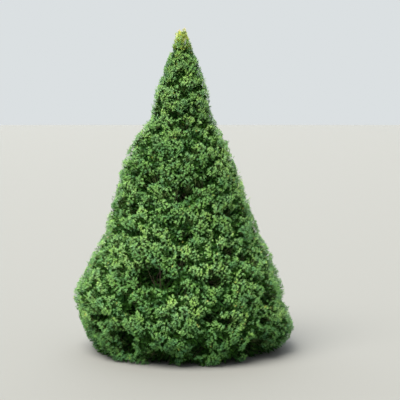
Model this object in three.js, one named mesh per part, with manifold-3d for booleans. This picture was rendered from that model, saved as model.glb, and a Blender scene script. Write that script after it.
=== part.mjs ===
// A dwarf Alberta spruce, rooted in the ground: one trunk, its main boughs, and the
// masses of short, dense sprays that make up the cone of the crown.
// Millimetres, +Z up. The origin is the middle of the flat cut under the trunk, at
// ground level, and the side that is usually looked at faces -Y.

import * as THREE from "three";
import { mergeVertices } from "three/addons/utils/BufferGeometryUtils.js";
import Module from "manifold-3d";

const wasm = await Module();
wasm.setup();

// Crown: a straight-sided cone with a blunt tip and a rounded skirt.
const treeHeight = 2110;
const flankFootRadius = 815; // where the straight flank would meet the ground
const tipRounding = 10; // radius of the curve at the very top
const skirtRadius = 690;
const skirtHeight = 250; // below this the skirt tucks in
const skirtTuck = 0.12;
const swells = [
  { name: "left shoulder", height: 1290, spread: 190, side: 180, gain: 0.09 },
  { name: "left skirt", height: 400, spread: 150, side: 185, gain: 0.07 },
  { name: "right skirt", height: 110, spread: 130, side: 0, gain: 0.09 },
  { name: "back skirt", height: 300, spread: 190, side: 80, gain: 0.05 },
  { name: "front belly", height: 640, spread: 170, side: 285, gain: 0.05 },
];
const waists = [
  { height: 1560, spread: 110, loss: 0.13 },
  { height: 800, spread: 110, loss: 0.035 },
];

// Trunk: a flared foot, a gentle bow and a slim leader.
const trunkFootRadius = 44;
const trunkTipRadius = 4;
const trunkTop = 1984;
const flareRadius = 26;
const flareHeight = 55;
const rootLobes = 5;
const trunkTaper = 0.9; // 1 would be a straight taper, and less is stouter near the tip
const rootLobeDepth = 0.4; // of the flare
const rootLobeTurn = 0.6;
const trunkLean = 14; // towards -X at the tip
const trunkBow = 16;
const trunkSway = 0.5; // of the bow, to the front and back
const trunkSides = 12;
const trunkRings = 15;
const trunkRingCrowding = 1.7; // more than 1 sets the rings closer at the foot
const endShare = 0.001; // of the trunk's length, that counts as its end

// Tiers of foliage, from the skirt to the tip. heart is where a mass has its centre and
// hollow is how far in it reaches, both as shares of the crown's radius.
const tiers = [
  { name: "skirt", height: 215, count: 7, heart: 0.68, hollow: 0.42, bough: 13 },
  { name: "low", height: 560, count: 6, heart: 0.68, hollow: 0.42, bough: 12 },
  { name: "middle", height: 885, count: 6, heart: 0.67, hollow: 0.4, bough: 11 },
  { name: "upper", height: 1180, count: 5, heart: 0.65, hollow: 0.38, bough: 9 },
  { name: "shoulder", height: 1445, count: 4, heart: 0.62, hollow: 0.22, bough: 0 },
  { name: "neck", height: 1665, count: 3, heart: 0.55, hollow: 0.18, bough: 0 },
  { name: "crest", height: 1872, count: 3, heart: 0.5, hollow: 0.15, bough: 0 },
  { name: "tip", height: 2030, count: 1, heart: 0, hollow: 0, bough: 0 },
];
const heightScatter = 30;
const turnScatter = 0.16; // of the angle between two masses of a tier

// Boughs rise to their masses, and narrow to their tips.
const boughRise = 0.42; // of the bough's reach
const boughDrop = 6; // from the middle of the mass down to the bough's tip
const boughBendAt = 0.55; // of the way out
const boughSag = 0.28; // of its rise
const boughTipShare = 0.62; // of its radius at the trunk
const boughGap = 9; // from its tip to the hollow's edge
const boughSides = 6;
const boughRings = 3;

// Stems go on from a bough's tip, or rise from the trunk where a mass has no bough.
const stemRadius = 6;
const stemTrunkShare = 0.6; // of the trunk's radius, where that is less
const stemRun = 0.4; // of its length, straight on from the bough
const stemRise = 0.5; // of its reach from the trunk
const stemBendAt = 0.6; // of the way out
const stemSag = 0.15; // of its rise
const stemSides = 5;
const stemRings = 2;

// Each mass: a core, twigs that grow to evenly spread tufts, and sprays on each twig.
// Tufts are smaller and closer together towards the tip of the tree.
const coreDepth = 104; // under the crown's surface, at the skirt
const coreLeast = 0.42; // of the crown's radius
const coreLumps = 0.12;
const coreFloor = 62;
const innerGap = 12; // round the trunk
const hollowGap = 6; // from a core to its mass's hollow
const coreHalvings = 20; // steps that find how far a core reaches
const tuftCount = 112;
const tuftCrowding = 1.35; // 2 would spread them evenly from tip to skirt
const lowestTuft = 70;
const tuftScatter = 0.3;
const tuftGather = 0.08; // how far a tuft is drawn to the middle of its mass
const smallestTuft = 0.36;
const tuftSizeScatter = 0.1;
const tuftTurnFade = 70; // below the tip, where the scatter of their turn is half
const skirtLift = 0.15; // radians above level that a tuft at the foot points, and all up at the tip
const liftFall = 0.4; // less than 1 brings them down nearer the tip
const underTufts = { count: 12, height: 30, share: 0.72, shareScatter: 0.1, turnScatter: 0.4, lift: -0.5 };
const twigRadius = 4.5;
const twigTipShare = 0.8; // of its radius
const twigBelowTip = 128;
const twigBends = [0.5, 0.3, 0.1]; // tried in turn, as shares of its length
const sideSprayLength = 178;
const sideSprayTurn = THREE.MathUtils.degToRad(64); // off the twig
const sideSprayRoot = 20; // in from the twig's end
const sideSprayInmost = 0.9; // of the way back to the twig's bend

// A spray of needles is a slim core that needles stand out of in two rings of three. Each
// ring is a place along the spray and a distance out from it, as shares of its length.
const sprayRings = [
  { along: 0.34, out: 0.44 },
  { along: 0.5, out: 0.1 },
  { along: 0.72, out: 0.32 },
];
const sprayScales = [1, 0.8, 0.62, 0.45]; // tried in turn, where a mass has less room

// Clearances
const jointGap = 0.3;
const spaceGap = 4; // from a mass to the edge of its own space
const groundGap = 8;
const shortestEdge = 0.2; // what joining leaves below this is closed up

const goldenTurn = Math.PI * (3 - Math.sqrt(5));
const up = new THREE.Vector3(0, 0, 1);

// A fixed number from 0 to 1 for each pair of whole numbers.
function scatter(index, salt) {
  const wave = Math.sin(index * 12.9898 + salt * 78.233) * 43758.5453;
  return wave - Math.floor(wave);
}

function centred(index, salt) {
  return 2 * scatter(index, salt) - 1;
}

function bell(distance, spread) {
  return Math.exp(-((distance / spread) ** 2));
}

// The crown's radius about the trunk at a height and a turn round it.
function crownRadius(height, turn) {
  const below = Math.max(treeHeight - height, 0);
  const cone = (flankFootRadius * below) / treeHeight;
  const flank = Math.sqrt(cone ** 2 + 2 * tipRounding * below);
  const tuck = Math.max(0, 1 - height / skirtHeight) ** 2 * skirtTuck;
  let radius = Math.min(flank, skirtRadius * (1 - tuck));
  for (const waist of waists) {
    radius *= 1 - waist.loss * bell(height - waist.height, waist.spread);
  }
  for (const swell of swells) {
    const facing = Math.max(0, Math.cos(turn - THREE.MathUtils.degToRad(swell.side)));
    radius *= 1 + swell.gain * facing ** 2 * bell(height - swell.height, swell.spread);
  }
  return radius;
}

function trunkPoint(height) {
  const share = height / treeHeight;
  return new THREE.Vector3(
    -trunkLean * share - trunkBow * Math.sin(Math.PI * share) ** 2,
    trunkBow * trunkSway * Math.sin(2 * Math.PI * share) * share,
    height,
  );
}

function trunkRadius(height, turn = 0) {
  const share = THREE.MathUtils.clamp(height / trunkTop, 0, 1);
  const shaft = THREE.MathUtils.lerp(trunkFootRadius, trunkTipRadius, share ** trunkTaper);
  const flare = flareRadius * Math.exp(-height / flareHeight);
  return shaft + flare * (1 + rootLobeDepth * Math.cos(rootLobes * turn + rootLobeTurn));
}

// How far a point is from the trunk's axis, and its turn round it.
function fromTrunk(point) {
  const offset = point.clone().sub(trunkPoint(point.z));
  return { distance: Math.hypot(offset.x, offset.y), turn: Math.atan2(offset.y, offset.x) };
}

// A point of the crown: a share of its radius out from the trunk.
function crownPoint(height, turn, share) {
  const reach = crownRadius(height, turn) * share;
  const across = new THREE.Vector3(Math.cos(turn), Math.sin(turn), 0);
  return trunkPoint(height).addScaledVector(across, reach);
}

function withSharedCorners(geometry) {
  const bare = geometry.clone();
  bare.deleteAttribute("normal");
  bare.deleteAttribute("uv");
  return mergeVertices(bare, 1e-3);
}

function toSolid(geometry) {
  const merged = withSharedCorners(geometry);
  return new wasm.Manifold(
    new wasm.Mesh({
      numProp: 3,
      vertProperties: merged.attributes.position.array,
      triVerts: new Uint32Array(merged.index.array),
    }),
  );
}

function toGeometry(solid) {
  const mesh = solid.simplify(shortestEdge).getMesh();
  return new THREE.BufferGeometry()
    .setAttribute("position", new THREE.BufferAttribute(mesh.vertProperties, 3))
    .setIndex(new THREE.BufferAttribute(mesh.triVerts, 1));
}

function frameAt(centre, along, side) {
  return { centre, along, side, rise: along.clone().cross(side) };
}

function perpendicular(direction) {
  const least = Math.abs(direction.z) > 0.9 ? new THREE.Vector3(0, 1, 0) : up;
  return new THREE.Vector3().crossVectors(least, direction).normalize();
}

// Frames along a curve, carried from one to the next without a twist.
function framesAlong(curve, steps) {
  let side = perpendicular(curve.getTangent(0));
  const frames = [];
  for (let i = 0; i <= steps; i++) {
    const along = curve.getTangent(i / steps);
    side = side.clone().addScaledVector(along, -side.dot(along)).normalize();
    frames.push(frameAt(curve.getPoint(i / steps), along, side));
  }
  return frames;
}

function cornerAt(frame, radius, turn) {
  return frame.centre.clone()
    .addScaledVector(frame.side, radius * Math.cos(turn))
    .addScaledVector(frame.rise, radius * Math.sin(turn));
}

// A skin over rings of three corners. The first ring may be a point, and the last is one.
function skinGeometry(rings) {
  const faces = rings[0].length > 1 ? [2, 1, 0] : [];
  let first = 0;
  for (let step = 1; step < rings.length; step++) {
    const second = first + rings[step - 1].length;
    for (let i = 0; i < 3; i++) {
      const next = (i + 1) % 3;
      if (rings[step - 1].length > 1) {
        faces.push(first + i, first + next, rings[step].length > 1 ? second + i : second);
      }
      if (rings[step].length > 1) {
        faces.push(second + i, rings[step - 1].length > 1 ? first + next : first, second + next);
      }
    }
    first = second;
  }
  return new THREE.BufferGeometry().setFromPoints(rings.flat()).setIndex(faces);
}

// A round limb along a curve, with a radius for each share of its length.
function limbGeometry(curve, radiusAt, sides, rings) {
  const frames = framesAlong(curve, rings);
  const limb = new THREE.CylinderGeometry(1, 1, 1, sides, rings);
  const place = limb.getAttribute("position");
  for (let i = 0; i < place.count; i++) {
    const share = 0.5 - place.getY(i);
    const radius = radiusAt(share) * Math.hypot(place.getX(i), place.getZ(i));
    const turn = Math.atan2(place.getZ(i), place.getX(i));
    const corner = cornerAt(frames[Math.round(share * rings)], radius, turn);
    place.setXYZ(i, corner.x, corner.y, corner.z);
  }
  return limb;
}

// The trunk's rings lie level, so that its foot is a flat cut at the ground.
function trunkGeometry(growth) {
  const shaft = new THREE.CylinderGeometry(1, 1, 1, trunkSides, trunkRings);
  const place = shaft.getAttribute("position");
  for (let i = 0; i < place.count; i++) {
    const share = place.getY(i) + 0.5;
    const height = trunkTop * share ** trunkRingCrowding;
    const spoke = Math.hypot(place.getX(i), place.getZ(i));
    const turn = Math.atan2(-place.getZ(i), place.getX(i));
    const centre = trunkPoint(height);
    const radius = (trunkRadius(height, turn) + growth) * spoke;
    const lift = share > 1 - endShare ? growth : share < endShare ? -growth : 0;
    place.setXYZ(
      i,
      centre.x + radius * Math.cos(turn),
      centre.y + radius * Math.sin(turn),
      height + lift,
    );
  }
  return shaft;
}

// Where each mass has its heart, tier by tier.
function placeMasses() {
  const masses = [];
  tiers.forEach((tier, level) => {
    for (let i = 0; i < tier.count; i++) {
      const seed = level * 10 + i;
      const spacing = (2 * Math.PI) / tier.count;
      const turn = level * goldenTurn + (i + turnScatter * centred(seed, 1)) * spacing;
      const lift = tier.count > 1 ? heightScatter * centred(seed, 2) : 0;
      const height = tier.height + lift;
      masses.push({
        name: tier.count > 1 ? `${tier.name}_${i + 1}` : tier.name,
        tier,
        seed,
        turn,
        height,
        heart: crownPoint(height, turn, tier.heart),
        tufts: [],
      });
    }
  });
  return masses;
}

const masses = placeMasses();

// How far inside its mass's own space a point lies: the space is all that is nearer to
// that mass's heart than to any other.
function spaceLeft(point, mass) {
  let least = point.z - groundGap + spaceGap;
  for (const other of masses) {
    if (other === mass) continue;
    const apart = other.heart.distanceTo(mass.heart);
    const nearer = other.heart.distanceToSquared(point) - mass.heart.distanceToSquared(point);
    least = Math.min(least, nearer / (2 * apart));
  }
  return least;
}

function clearOfTrunk(point, gap) {
  if (point.z > trunkTop) {
    return point.distanceTo(trunkPoint(trunkTop)) > trunkTipRadius + gap;
  }
  return fromTrunk(point).distance > trunkRadius(point.z) + gap;
}

// How large a tuft is at a height, as a share of one at the skirt.
function tuftSize(height) {
  const share = Math.max(1 - height / treeHeight, 0);
  return Math.max(share ** (1 - tuftCrowding / 2), smallestTuft);
}

// The core is the dense middle of a mass: every corner goes out from the heart as far as
// the mass's space, the crown's inner hollow and the crown itself let it.
function coreHolds(point, mass) {
  const { distance, turn } = fromTrunk(point);
  const outer = crownRadius(point.z, turn);
  return (
    point.z > Math.min(coreFloor, mass.height) &&
    distance < Math.max(outer - coreDepth * tuftSize(point.z), outer * coreLeast) &&
    distance > outer * mass.tier.hollow + (mass.tier.hollow > 0 ? hollowGap : 0) &&
    clearOfTrunk(point, innerGap) &&
    spaceLeft(point, mass) > spaceGap
  );
}

function coreReach(mass, direction) {
  let inside = 0;
  let outside = skirtRadius;
  for (let step = 0; step < coreHalvings; step++) {
    const middle = (inside + outside) / 2;
    const point = mass.heart.clone().addScaledVector(direction, middle);
    if (coreHolds(point, mass)) inside = middle;
    else outside = middle;
  }
  return inside;
}

function coreGeometry(mass) {
  const core = withSharedCorners(new THREE.IcosahedronGeometry(1, 1));
  const spin = new THREE.Euler(0, 0, mass.turn + mass.seed);
  const place = core.getAttribute("position");
  const direction = new THREE.Vector3();
  for (let i = 0; i < place.count; i++) {
    direction.fromBufferAttribute(place, i).applyEuler(spin).normalize();
    const lump = 1 - coreLumps * scatter(i, mass.seed + 3);
    const reach = coreReach(mass, direction) * lump;
    direction.multiplyScalar(reach).add(mass.heart);
    place.setXYZ(i, direction.x, direction.y, direction.z);
  }
  return core;
}

// Tufts lie evenly over the crown, on one golden spiral from the tip down to the skirt,
// and a few more lie under the skirt. Each belongs to the mass whose heart is nearest.
function placeTufts() {
  for (let i = 0; i < tuftCount; i++) {
    const step = i + (i > 0 ? tuftScatter * centred(i, 11) : 0);
    const fall = (treeHeight - lowestTuft) * (step / tuftCount) ** (1 / tuftCrowding);
    const height = treeHeight - fall;
    const stray = (tuftScatter * centred(i, 12) * tuftTurnFade) / (fall + tuftTurnFade);
    const turn = i * goldenTurn + stray;
    const lift = THREE.MathUtils.lerp(Math.PI / 2, skirtLift, (fall / treeHeight) ** liftFall);
    addTuft(i, crownPoint(height, turn, 1), turn, lift);
  }
  for (let i = 0; i < underTufts.count; i++) {
    const spacing = (2 * Math.PI) / underTufts.count;
    const turn = (i + underTufts.turnScatter * centred(i, 13)) * spacing;
    const share = underTufts.share + underTufts.shareScatter * centred(i, 14);
    addTuft(tuftCount + i, crownPoint(underTufts.height, turn, share), turn, underTufts.lift);
  }
}

function addTuft(seed, tip, turn, lift) {
  const mass = masses.reduce((best, each) =>
    each.heart.distanceToSquared(tip) < best.heart.distanceToSquared(tip) ? each : best,
  );
  const middle = mass.tier.count > 1 ? crownPoint(mass.height, mass.turn, 1) : tip;
  const direction = new THREE.Vector3(
    Math.cos(turn) * Math.cos(lift),
    Math.sin(turn) * Math.cos(lift),
    Math.sin(lift),
  );
  mass.tufts.push({ seed, tip: tip.clone().lerp(middle, tuftGather), direction });
}

function allowed(corners, mass) {
  return corners.every((corner) =>
    spaceLeft(corner, mass) > spaceGap / 2 && clearOfTrunk(corner, innerGap));
}

// The rings and the tip of a spray that grows from a frame, as long as there is room for it.
function growSpray(mass, frame, fullLength, roll) {
  for (const scale of sprayScales) {
    const length = fullLength * scale;
    const ahead = (share) => frame.centre.clone().addScaledVector(frame.along, share * length);
    const rings = sprayRings.map(({ along, out }, i) => {
      const middle = { ...frame, centre: ahead(along) };
      return [0, 1, 2].map((corner) =>
        cornerAt(middle, out * length, roll + ((2 * corner + i) * Math.PI) / 3));
    });
    rings.push([ahead(1)]);
    if (allowed(rings.flat(), mass)) return rings;
  }
  return null;
}

// A twig runs from its mass's heart to just below its tuft's tip, and turns to the tuft's
// direction as far as the mass's space lets it.
function twigCurve(mass, tuft, size) {
  const end = tuft.tip.clone().addScaledVector(tuft.direction, -twigBelowTip * size);
  const length = end.distanceTo(mass.heart);
  for (const turnLength of twigBends) {
    const bend = end.clone().addScaledVector(tuft.direction, -length * turnLength);
    if (allowed([bend, end], mass)) {
      return new THREE.QuadraticBezierCurve3(mass.heart, bend, end);
    }
  }
  return null;
}

// One tuft: a twig that grows out of the core and ends in a spray, and a spray beside it
// whose root is in the middle of the twig.
function tuftSolids(mass, tuft) {
  const size = tuftSize(tuft.tip.z) * (1 + tuftSizeScatter * centred(tuft.seed, 21));
  const curve = twigCurve(mass, tuft, size);
  if (!curve) return [];
  const [heart, bend, end] = framesAlong(curve, 2);
  const roll = scatter(tuft.seed, 24) * 2 * Math.PI;
  const sideRoll = scatter(tuft.seed, 23) * 2 * Math.PI;
  const endSpray = growSpray(mass, end, twigBelowTip * size, roll);
  if (!endSpray) return [];
  const twigRing = (frame, radius) =>
    [0, 1, 2].map((corner) => cornerAt(frame, radius * size, roll + (2 * corner * Math.PI) / 3));
  const twig = [twigRing(heart, twigRadius), twigRing(bend, twigRadius),
    twigRing(end, twigRadius * twigTipShare)];
  const skins = [skinGeometry([...twig, ...endSpray])];
  const back = (sideSprayRoot * size) / bend.centre.distanceTo(end.centre);
  const root = end.centre.clone().lerp(bend.centre, Math.min(back, sideSprayInmost));
  const way = end.along.clone().multiplyScalar(Math.cos(sideSprayTurn))
    .addScaledVector(end.side, Math.sin(sideSprayTurn) * Math.cos(sideRoll))
    .addScaledVector(end.rise, Math.sin(sideSprayTurn) * Math.sin(sideRoll));
  const frame = frameAt(root, way, perpendicular(way));
  const sideSpray = growSpray(mass, frame, sideSprayLength * size, sideRoll);
  if (sideSpray) skins.push(skinGeometry([[root], ...sideSpray]));
  return skins.map(toSolid);
}

const trunkSolid = toSolid(trunkGeometry(0));
const trunkRoom = toSolid(trunkGeometry(jointGap));

function boughCurve(mass) {
  const share = mass.tier.hollow - boughGap / crownRadius(mass.height, mass.turn);
  const tip = crownPoint(mass.height - boughDrop, mass.turn, share);
  const reach = fromTrunk(tip).distance;
  const foot = trunkPoint(tip.z - reach * boughRise);
  const bend = foot.clone().lerp(tip, boughBendAt);
  bend.z -= reach * boughRise * boughSag;
  return new THREE.QuadraticBezierCurve3(foot, bend, tip);
}

function boughSolid(mass) {
  const curve = boughCurve(mass);
  const taper = (share) => mass.tier.bough * THREE.MathUtils.lerp(1, boughTipShare, share);
  return toSolid(limbGeometry(curve, taper, boughSides, boughRings)).subtract(trunkRoom);
}

// A mass's stem goes on from its bough's tip, or straight from the trunk.
function stemSolid(mass) {
  const heart = mass.heart;
  if (mass.tier.bough > 0) {
    const bough = boughCurve(mass);
    const along = bough.getTangent(1);
    const start = bough.getPoint(1).addScaledVector(along, jointGap);
    const bend = start.clone().addScaledVector(along, start.distanceTo(heart) * stemRun);
    const curve = new THREE.QuadraticBezierCurve3(start, bend, heart);
    const radius = mass.tier.bough * boughTipShare;
    return toSolid(limbGeometry(curve, () => radius, boughSides, stemRings));
  }
  if (mass.tier.count === 1) {
    const start = trunkPoint(trunkTop);
    start.z += jointGap;
    const curve = new THREE.LineCurve3(start, heart);
    return toSolid(limbGeometry(curve, () => trunkTipRadius, boughSides, 1));
  }
  const rise = fromTrunk(heart).distance * stemRise;
  const foot = trunkPoint(heart.z - rise);
  const bend = foot.clone().lerp(heart, stemBendAt);
  bend.z -= rise * stemSag;
  const curve = new THREE.QuadraticBezierCurve3(foot, bend, heart);
  const radius = Math.min(stemRadius, trunkRadius(foot.z) * stemTrunkShare);
  return toSolid(limbGeometry(curve, () => radius, stemSides, stemRings)).subtract(trunkRoom);
}

// A mass is joined into one piece. A hollow that the joining seals is filled.
function massSolid(mass) {
  const tufts = mass.tufts.flatMap((tuft) => tuftSolids(mass, tuft));
  const joined = wasm.Manifold.union([stemSolid(mass), toSolid(coreGeometry(mass)), ...tufts]);
  return joined.decompose().sort((a, b) => b.volume() - a.volume())[0];
}

placeTufts();

const barkMaterial = new THREE.MeshStandardMaterial({ color: "#6b5546", roughness: 0.9 });
const needleMaterial = new THREE.MeshStandardMaterial({ color: "#3f7434", roughness: 0.7 });

const spruce = new THREE.Group();
spruce.name = "dwarf_alberta_spruce";

function addNode(name, solid, material) {
  const mesh = new THREE.Mesh(toGeometry(solid), material);
  mesh.name = name;
  spruce.add(mesh);
}

addNode("trunk", trunkSolid, barkMaterial);
for (const mass of masses) {
  if (mass.tier.bough > 0) addNode(`bough_${mass.name}`, boughSolid(mass), barkMaterial);
}
for (const mass of masses) addNode(`foliage_${mass.name}`, massSolid(mass), needleMaterial);

export default spruce;
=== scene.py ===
# A dwarf alberta spruce: bark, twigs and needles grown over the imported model, by the same
# seeded rule as its solids and carried on to finer twigs. Metres, +Z up.
import math

import bpy
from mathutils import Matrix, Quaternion, Vector, noise
from mathutils.kdtree import KDTree


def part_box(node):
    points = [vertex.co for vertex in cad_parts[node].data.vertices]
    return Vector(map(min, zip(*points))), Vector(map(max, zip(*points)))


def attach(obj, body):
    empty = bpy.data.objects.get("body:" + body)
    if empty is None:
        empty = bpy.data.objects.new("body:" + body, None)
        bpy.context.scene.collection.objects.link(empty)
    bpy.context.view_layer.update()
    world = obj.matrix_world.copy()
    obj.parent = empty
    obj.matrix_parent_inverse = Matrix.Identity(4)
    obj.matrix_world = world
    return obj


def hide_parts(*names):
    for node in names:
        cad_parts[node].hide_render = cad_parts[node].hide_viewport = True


noiseSeed = 4
noise.seed_set(noiseSeed)  # without it noise_vector differs from run to run

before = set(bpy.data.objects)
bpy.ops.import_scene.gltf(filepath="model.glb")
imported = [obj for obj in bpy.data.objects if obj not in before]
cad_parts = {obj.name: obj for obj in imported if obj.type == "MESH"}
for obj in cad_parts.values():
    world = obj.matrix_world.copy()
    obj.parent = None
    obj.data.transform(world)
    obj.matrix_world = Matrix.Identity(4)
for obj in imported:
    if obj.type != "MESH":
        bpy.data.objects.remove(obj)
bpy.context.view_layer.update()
nodeNames = list(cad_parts)
barkNodes = [name for name in nodeNames if not name.startswith("foliage")]
foliageNodes = [name for name in nodeNames if name.startswith("foliage")]
print("frame loaded:", len(nodeNames), "nodes")

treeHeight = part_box("foliage_tip")[1][2]
goldenTurn = math.pi * (3 - math.sqrt(5))
up = Vector((0, 0, 1))


def scatter(index, salt):  # a fixed number from 0 to 1, and another for each salt
    wave = math.sin(index * 12.9898 + salt * 78.233) * 43758.5453
    return wave - math.floor(wave)


def centred(index, salt):  # the same from -1 to 1
    return 2 * scatter(index, salt) - 1


def bell(distance, spread):
    return math.exp(-((distance / spread) ** 2))


def mix(low, high, share):
    return low + (high - low) * share


def clamp(value, low, high):
    return max(low, min(high, value))


def flattened(point, flat):
    return Vector((point.x, point.y, point.z * flat))


def addObject(name, data):
    thing = bpy.data.objects.new(name, data)
    bpy.context.scene.collection.objects.link(thing)
    return thing


def hexToLinear(code):
    channels = [int(code[i:i + 2], 16) / 255 for i in (1, 3, 5)]
    linear = [c / 12.92 if c <= 0.04045 else ((c + 0.055) / 1.055) ** 2.4 for c in channels]
    return (*linear, 1.0)


# The crown's outline, as in the solids
crown = {
    "flankFootRadius": 0.815,  # where the straight flank would meet the ground
    "tipRounding": 0.010,
    "skirtRadius": 0.690,
    "skirtHeight": 0.250,
    "skirtTuck": 0.12,
    "swells": [  # height, spread, side in degrees, gain
        (1.290, 0.190, 180, 0.09),
        (0.400, 0.150, 185, 0.07),
        (0.110, 0.130, 0, 0.09),
        (0.300, 0.190, 80, 0.05),
        (0.640, 0.170, 285, 0.05),
    ],
    "waists": [(1.560, 0.110, 0.13), (0.800, 0.110, 0.035)],  # height, spread, loss
}


def crownRadius(height, turn):
    below = max(treeHeight - height, 0)
    cone = crown["flankFootRadius"] * below / treeHeight
    flank = math.sqrt(cone ** 2 + 2 * crown["tipRounding"] * below)
    tuck = max(0, 1 - height / crown["skirtHeight"]) ** 2 * crown["skirtTuck"]
    radius = min(flank, crown["skirtRadius"] * (1 - tuck))
    for middle, spread, loss in crown["waists"]:
        radius *= 1 - loss * bell(height - middle, spread)
    for middle, spread, side, gain in crown["swells"]:
        facing = max(0, math.cos(turn - math.radians(side)))
        radius *= 1 + gain * facing ** 2 * bell(height - middle, spread)
    return radius


# The trunk's line and girth, as in the solids
trunk = {
    "footRadius": 0.044, "tipRadius": 0.004, "top": 1.984, "taper": 0.9,
    "flareRadius": 0.026, "flareHeight": 0.055, "rootLobes": 5, "lobeGain": 0.4, "lobeTurn": 0.6,
    "lean": 0.014, "bow": 0.016, "sideBow": 0.5,
    "sides": 40, "rings": 200, "ringCrowding": 1.3,  # sets the rings closer at the foot
}


def trunkPoint(height):
    share = height / treeHeight
    return Vector((
        -trunk["lean"] * share - trunk["bow"] * math.sin(math.pi * share) ** 2,
        trunk["bow"] * trunk["sideBow"] * math.sin(2 * math.pi * share) * share,
        height,
    ))


def trunkRadius(height, turn=0.0):
    share = clamp(height / trunk["top"], 0, 1)
    shaft = mix(trunk["footRadius"], trunk["tipRadius"], share ** trunk["taper"])
    flare = trunk["flareRadius"] * math.exp(-height / trunk["flareHeight"])
    lobes = math.cos(trunk["rootLobes"] * turn + trunk["lobeTurn"])
    return shaft + flare * (1 + trunk["lobeGain"] * lobes)


def crownPoint(height, turn, share):
    reach = crownRadius(height, turn) * share
    return trunkPoint(height) + Vector((math.cos(turn), math.sin(turn), 0)) * reach


def fromTrunk(point):
    offset = point - trunkPoint(point.z)
    return math.hypot(offset.x, offset.y), math.atan2(offset.y, offset.x)


# The masses, tier by tier: height, count, heart, hollow, bough radius
tiers = [
    (0.215, 7, 0.68, 0.42, 0.013),
    (0.560, 6, 0.68, 0.42, 0.012),
    (0.885, 6, 0.67, 0.40, 0.011),
    (1.180, 5, 0.65, 0.38, 0.009),
    (1.445, 4, 0.62, 0.22, 0),
    (1.665, 3, 0.55, 0.18, 0),
    (1.872, 3, 0.50, 0.15, 0),
    (2.030, 1, 0, 0, 0),
]
heightScatter = 0.030
turnScatter = 0.16


def placeMasses():
    placed = []
    for level, (tierHeight, count, heart, hollow, bough) in enumerate(tiers):
        for i in range(count):
            seed = level * 10 + i
            turn = level * goldenTurn + (i + turnScatter * centred(seed, 1)) * 2 * math.pi / count
            height = tierHeight + (heightScatter * centred(seed, 2) if count > 1 else 0)
            placed.append({"turn": turn, "height": height, "hollow": hollow, "bough": bough,
                           "heart": crownPoint(height, turn, heart)})
    return placed


masses = placeMasses()


def nearestMass(point):
    return min(masses, key=lambda mass: (mass["heart"] - point).length_squared)


# Curves: a bend from start to end, with one point that draws it
shortest = 1e-7  # a tangent below it counts as none
steep = 0.9  # the rise above which a limb takes its side from another axis


def bendPoint(curve, share):
    start, pull, end = curve
    return start * (1 - share) ** 2 + pull * (2 * share * (1 - share)) + end * share ** 2


def bendTangent(curve, share):
    start, pull, end = curve
    along = (pull - start) * (1 - share) + (end - pull) * share
    return along.normalized() if along.length > shortest else (end - start).normalized()


def crossways(along):
    least = Vector((0, 1, 0)) if abs(along.z) > steep else up
    return least.cross(along).normalized()


def tubeFaces(first, sides, rings):  # a tube of rings, closed at both ends
    faces = []
    for i in range(rings):
        for k in range(sides):
            here = first + i * sides + k
            beside = first + i * sides + (k + 1) % sides
            faces.append((here, beside, beside + sides, here + sides))
    last = first + rings * sides
    return faces + [tuple(reversed(range(first, first + sides))), tuple(range(last, last + sides))]


class Skin:  # gathers limbs into one mesh
    def __init__(self):
        self.corners = []
        self.faces = []

    def addLimb(self, curve, radiusAt, sides, rings):
        first = len(self.corners)
        side = crossways(bendTangent(curve, 0))
        for i in range(rings + 1):
            share = i / rings
            along = bendTangent(curve, share)
            side = (side - along * side.dot(along)).normalized()
            rise = along.cross(side)
            middle = bendPoint(curve, share)
            for k in range(sides):
                turn = 2 * math.pi * k / sides
                spoke = side * math.cos(turn) + rise * math.sin(turn)
                self.corners.append(middle + spoke * radiusAt(share, middle, spoke))
        self.faces += tubeFaces(first, sides, rings)

    def toObject(self, name):
        mesh = bpy.data.meshes.new(name)
        mesh.from_pydata(self.corners, [], self.faces)
        mesh.validate()
        mesh.shade_smooth()
        return addObject(name, mesh)


# Node trees
def openSocket(sockets, name):  # some nodes have one name on several sockets, with one in use
    return next(socket for socket in sockets if socket.name == name and socket.enabled)


def addNode(tree, kind, settings=None, links=None):
    node = tree.nodes.new(kind)
    for name, value in (settings or {}).items():
        setattr(node, name, value)
    for name, value in (links or {}).items():
        target = node.inputs[name] if isinstance(name, int) else openSocket(node.inputs, name)
        if isinstance(value, bpy.types.Node):  # a node stands for its first output in use
            value = next(socket for socket in value.outputs if socket.enabled)
        if isinstance(value, bpy.types.NodeSocket):
            tree.links.new(value, target)
        else:
            target.default_value = value
    return node


def newFinish(name):
    finish = bpy.data.materials.new(name)
    finish.use_nodes = True
    finish.node_tree.nodes.clear()
    return finish, finish.node_tree


def closeFinish(tree, look):
    skin = addNode(tree, "ShaderNodeBsdfPrincipled", None, look)
    addNode(tree, "ShaderNodeOutputMaterial", None, {"Surface": skin})


# Spruce needles: a waxy, half-gloss skin. In patches a few centimetres wide the growth is a
# little darker and cooler, or lighter and warmer.
needleLook = {
    "roughness": 0.42, "patch": 0.050, "detail": 2.0, "stops": (0.3, 0.7),
    "cool": (0.66, 0.79, 1.04), "warm": (1.35, 1.23, 0.90),
}


def makeNeedleFinish(name, code, sheen):
    finish, tree = newFinish(name)
    places = addNode(tree, "ShaderNodeTexCoord")
    patches = addNode(tree, "ShaderNodeTexNoise", {"noise_dimensions": "3D"}, {
        "Vector": places.outputs["Object"], "Scale": 1 / needleLook["patch"],
        "Detail": needleLook["detail"]})
    shades = addNode(tree, "ShaderNodeValToRGB", None, {"Fac": patches.outputs["Fac"]})
    changes = (needleLook["cool"], needleLook["warm"])
    for element, stop, change in zip(shades.color_ramp.elements, needleLook["stops"], changes):
        element.position = stop
        element.color = [min(1, c * share) for c, share in zip(hexToLinear(code), change)] + [1]
    closeFinish(tree, {
        "Base Color": shades, "Roughness": needleLook["roughness"], "Specular IOR Level": sheen})
    return finish


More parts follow.
